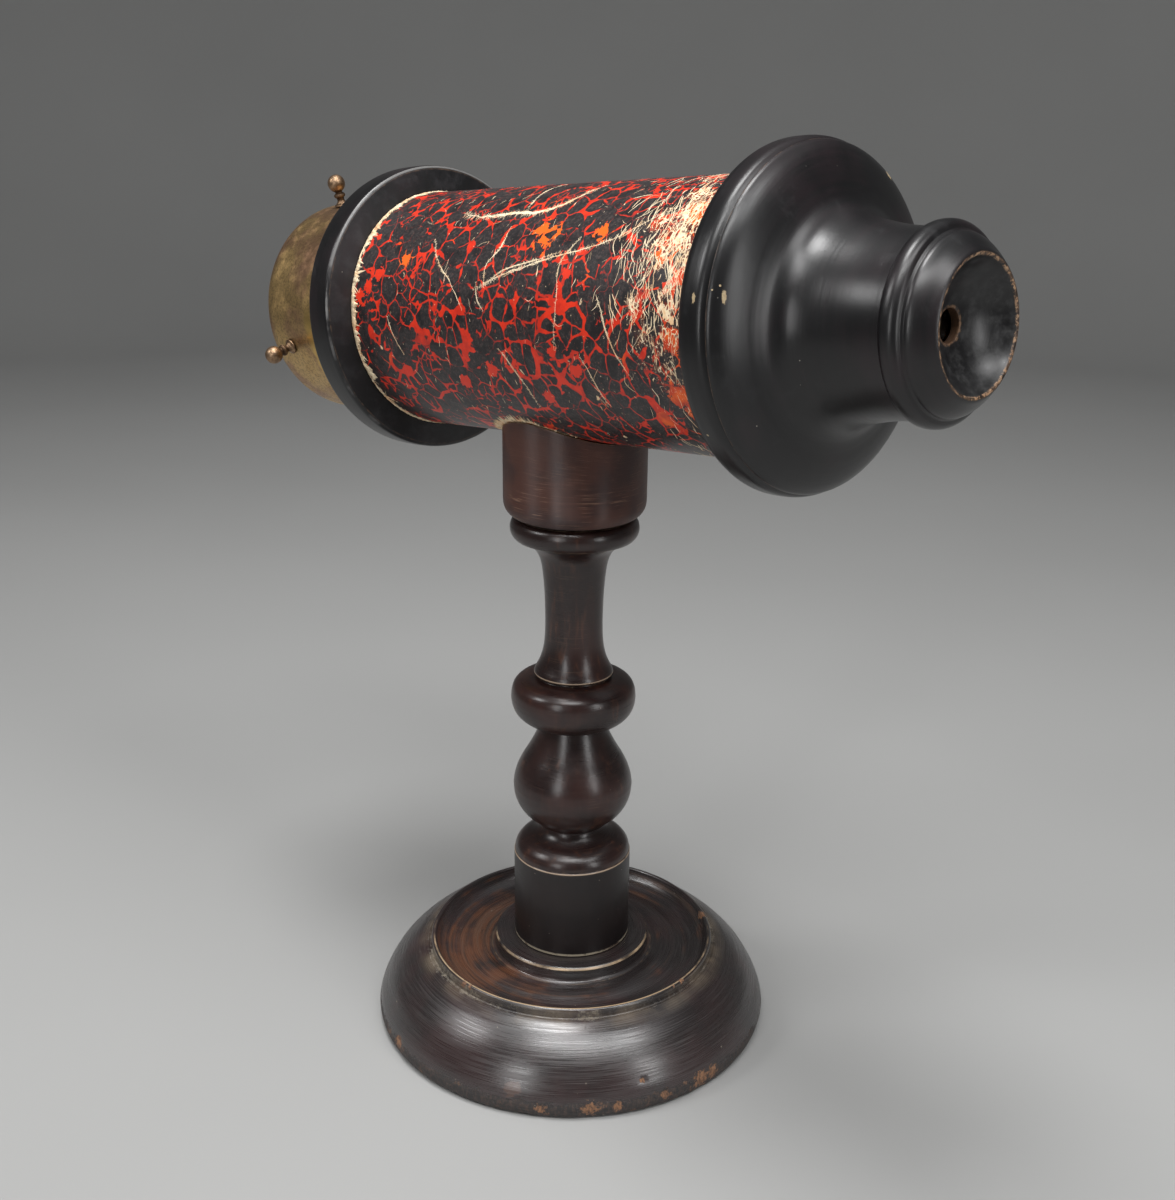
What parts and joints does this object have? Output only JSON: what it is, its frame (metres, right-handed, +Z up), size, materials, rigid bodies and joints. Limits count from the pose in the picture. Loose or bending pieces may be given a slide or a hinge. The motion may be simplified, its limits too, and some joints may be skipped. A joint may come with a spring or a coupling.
{
  "type": "parlour kaleidoscope",
  "caption": "Table kaleidoscope: a marbled-paper barrel with a turned black eyepiece and a knobbed brass object drum that spins, on a turned column and a round domed base.",
  "frame": {"origin": "centre of the base's flat underside", "axes": "+Z up; +X is the way the barrel points, towards the eyepiece (the barrel rises 4.85 degrees that way); +Y completes a right-handed frame"},
  "size_m": [0.2682, 0.1384, 0.3003],
  "materials": {
    "base_wood": "ebonised, worn satin",
    "column_wood": "dark stained, satin",
    "cup_wood": "red-brown stained, satin",
    "bell_wood": "ebonised, satin gloss",
    "ring_wood": "ebonised, satin",
    "cradle_pine": "bare",
    "tube_board": "bare pasteboard",
    "sleeve_board": "bare pasteboard",
    "spacer_card": "bare card",
    "blackened_card": "matt black card",
    "marbled_paper": "marbled and burnished, worn",
    "drum_brass": "aged, partly polished",
    "knob_brass": "aged, coppery",
    "cell_ring_brass": "plain",
    "end_ring_brass": "plain",
    "eye_ring_brass": "plain",
    "washer_brass": "plain",
    "screw_steel": "dull",
    "mirror_silver": "silvered glass",
    "eye_glass": "clear",
    "end_glass": "clear",
    "cell_glass": "clear",
    "ground_glass": "ground",
    "chip_glass_1": "ruby",
    "chip_glass_2": "amber",
    "chip_glass_3": "green",
    "chip_glass_4": "blue",
    "chip_glass_5": "clear",
    "chip_glass_6": "violet",
    "chip_glass_7": "pink",
    "chip_glass_8": "teal"
  },
  "bodies": {
    "stand": {"base": "base_wood", "column": "column_wood"},
    "barrel": {"saddle_cup": "cup_wood", "saddle_screw": "screw_steel", "saddle_washer": "washer_brass", "tube": "tube_board", "paper_cover": "marbled_paper", "bearing_sleeve": "sleeve_board", "eyepiece_bell": "bell_wood", "eye_glass": "eye_glass", "eye_glass_ring": "eye_ring_brass", "rear_ring": "ring_wood", "mirror_left": "mirror_silver", "mirror_right": "mirror_silver", "mirror_backing": "blackened_card", "mirror_cradle_rear": "cradle_pine", "mirror_cradle_front": "cradle_pine", "end_glass": "end_glass", "end_glass_ring": "end_ring_brass"},
    "cell": {"cell_drum": "drum_brass", "cell_spacer": "spacer_card", "cell_glass": "cell_glass", "cell_glass_ring": "cell_ring_brass", "ground_glass": "ground_glass", "knob_1": "knob_brass", "knob_2": "knob_brass", "knob_3": "knob_brass", "knob_4": "knob_brass", "glass_chip_1": "chip_glass_1", "glass_chip_2": "chip_glass_2", "glass_chip_3": "chip_glass_3", "glass_chip_4": "chip_glass_4", "glass_chip_5": "chip_glass_5", "glass_chip_6": "chip_glass_6", "glass_chip_7": "chip_glass_7", "glass_chip_8": "chip_glass_8"}
  },
  "joints": [
    {"name": "barrel_swivel", "type": "hinge", "parent": "stand", "child": "barrel", "pos_m": [0, 0, 0.19], "axis": [0, 0, 1], "continuous": true},
    {"name": "cell_spin", "type": "hinge", "parent": "barrel", "child": "cell", "pos_m": [0, 0, 0.24664], "axis": [0.9964, 0, 0.0845], "continuous": true}
  ]
}
